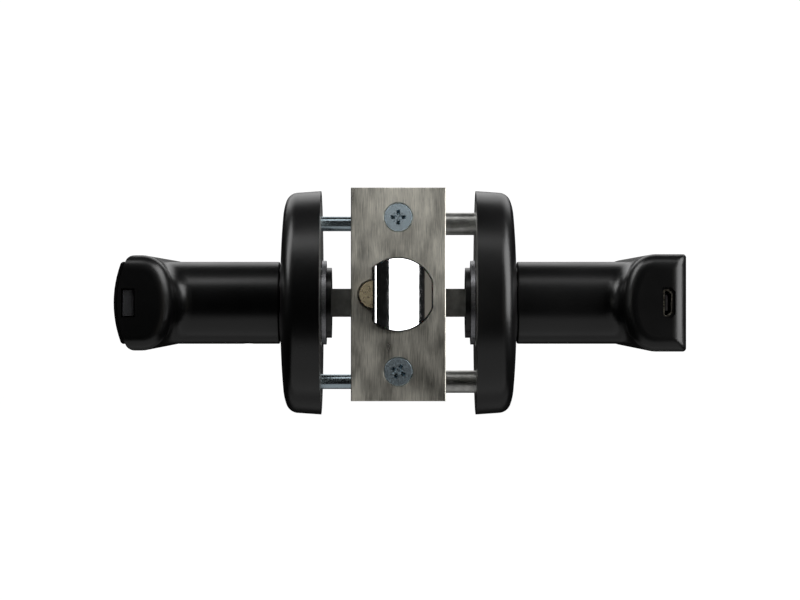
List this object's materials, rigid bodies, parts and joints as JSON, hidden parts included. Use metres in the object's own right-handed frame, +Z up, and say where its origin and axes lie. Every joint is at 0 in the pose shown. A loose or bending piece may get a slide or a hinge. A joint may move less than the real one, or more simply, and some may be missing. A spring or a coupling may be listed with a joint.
{
  "type": "keypad smart lock",
  "caption": "Battery keypad lever lock with round roses, a tubular spring latch, a clutched outside lever and a power socket in its end.",
  "frame": {"origin": "on the spindle's axis, at the middle of the door's thickness", "axes": "+X to the outside of the door, the keypad's side; +Y away from the door's edge, the way the levers point; +Z up"},
  "size_m": [0.1604, 0.1947, 0.0636],
  "materials": {
    "black_coating": "satin black coating",
    "stainless": "vertical brushed grain",
    "polished_chrome": "mirror polish",
    "nickel_brass": "satin, nickel over brass",
    "zinc_screw": "bright zinc plating",
    "plated_steel": "zinc plating",
    "spring_steel": "drawn wire",
    "white_acetal": "moulded",
    "black_foam": "closed cell",
    "keypad_glass": "black-backed, clear gloss",
    "circuit_board": "solder mask",
    "light_lens": "diffusing",
    "cell_can": "plain wrap",
    "contact_metal": "nickel plated",
    "black_plastic": "fine texture",
    "button_plastic": "fine texture",
    "motor_can": "drawn can",
    "cable_jacket": "smooth jacket"
  },
  "bodies": {
    "door_set": {"outside_rose": "black_coating", "outside_mounting_plate": "plated_steel", "outside_gasket": "black_foam", "outside_neck_bushing": "white_acetal", "outside_return_spring": "spring_steel", "mounting_posts": "plated_steel", "inside_rose": "black_coating", "inside_mounting_plate": "plated_steel", "inside_gasket": "black_foam", "inside_neck_bushing": "white_acetal", "inside_return_spring": "spring_steel", "through_bolts": "zinc_screw", "faceplate": "stainless", "latch_backing_plate": "plated_steel", "faceplate_screws": "zinc_screw", "latch_tube": "plated_steel", "latch_case": "plated_steel", "case_rivets": "plated_steel", "bolt_guide": "white_acetal", "spring_seat": "plated_steel", "bolt_spring": "spring_steel", "plunger_spring": "spring_steel", "lead_cable": "cable_jacket"},
    "inside_handle": {"inside_lever": "black_coating", "inside_circlip": "spring_steel", "inside_return_cam": "plated_steel", "lever_grub_screw": "zinc_screw", "spindle_hub": "plated_steel", "square_spindle": "plated_steel", "latch_hub": "plated_steel", "clutch_driver": "plated_steel", "battery_tray": "black_plastic", "battery_cell_1": "cell_can", "battery_cell_2": "cell_can", "battery_cell_3": "cell_can", "battery_cell_4": "cell_can", "battery_contacts": "contact_metal", "main_board": "circuit_board", "button_spring": "spring_steel"},
    "outside_handle": {"outside_lever": "black_coating", "outside_circlip": "spring_steel", "outside_return_cam": "plated_steel", "keypad_glass": "keypad_glass", "keypad_seal": "black_foam", "keypad_board": "circuit_board", "keypad_lights": "light_lens", "usb_shell": "contact_metal", "usb_tongue": "black_plastic", "usb_board": "circuit_board", "clutch_housing": "black_plastic", "clutch_motor": "motor_can"},
    "latch_bolt": {"latch_bolt": "polished_chrome", "bolt_tail": "plated_steel"},
    "deadlock_plunger": {"deadlock_plunger": "nickel_brass"},
    "release_button": {"release_button": "button_plastic"},
    "battery_cover": {"battery_cover": "black_coating"},
    "clutch_screw": {"clutch_screw": "plated_steel"},
    "clutch_pin": {"clutch_pin": "plated_steel"}
  },
  "joints": [
    {"name": "inside_lever_turn", "type": "hinge", "parent": "door_set", "child": "inside_handle", "pos_m": [0, 0, 0], "axis": [-1, 0, 0], "range_deg": [0, 45], "stiffness_Nm_per_rad": 0.4, "springref_deg": -68.75, "deforming": ["inside_return_spring"]},
    {"name": "outside_lever_turn", "type": "hinge", "parent": "door_set", "child": "outside_handle", "pos_m": [0, 0, 0], "axis": [-1, 0, 0], "range_deg": [0, 45], "stiffness_Nm_per_rad": 0.4, "springref_deg": -68.75, "deforming": ["outside_return_spring"]},
    {"name": "latch_bolt_slide", "type": "slide", "parent": "door_set", "child": "latch_bolt", "axis": [0, 1, 0], "range_m": [0, 0.0123], "deforming": ["bolt_spring"]},
    {"name": "deadlock_plunger_slide", "type": "slide", "parent": "door_set", "child": "deadlock_plunger", "axis": [0, 1, 0], "range_m": [0, 0.01], "stiffness_N_per_m": 150, "springref_m": -0.006, "deforming": ["plunger_spring"]},
    {"name": "release_button_press", "type": "slide", "parent": "inside_handle", "child": "release_button", "axis": [0, 1, 0], "range_m": [0, 0.0015], "stiffness_N_per_m": 400, "springref_m": -0.002, "deforming": ["button_spring"]},
    {"name": "battery_cover_slide", "type": "slide", "parent": "inside_handle", "child": "battery_cover", "axis": [0, 1, 0], "range_m": [0, 0.012]},
    {"name": "clutch_screw_turn", "type": "hinge", "parent": "outside_handle", "child": "clutch_screw", "pos_m": [0, 0, 0.0049], "axis": [1, 0, 0], "range_deg": [0, 722]},
    {"name": "clutch_pin_slide", "type": "slide", "parent": "outside_handle", "child": "clutch_pin", "axis": [-1, 0, 0], "range_m": [0, 0.0025]}
  ],
  "couplings": [
    {"joint": "latch_bolt_slide", "follows": "inside_lever_turn", "m_per_rad": 0.015597},
    {"joint": "clutch_screw_turn", "follows": "clutch_pin_slide", "rad_per_m": 5026.5}
  ]
}
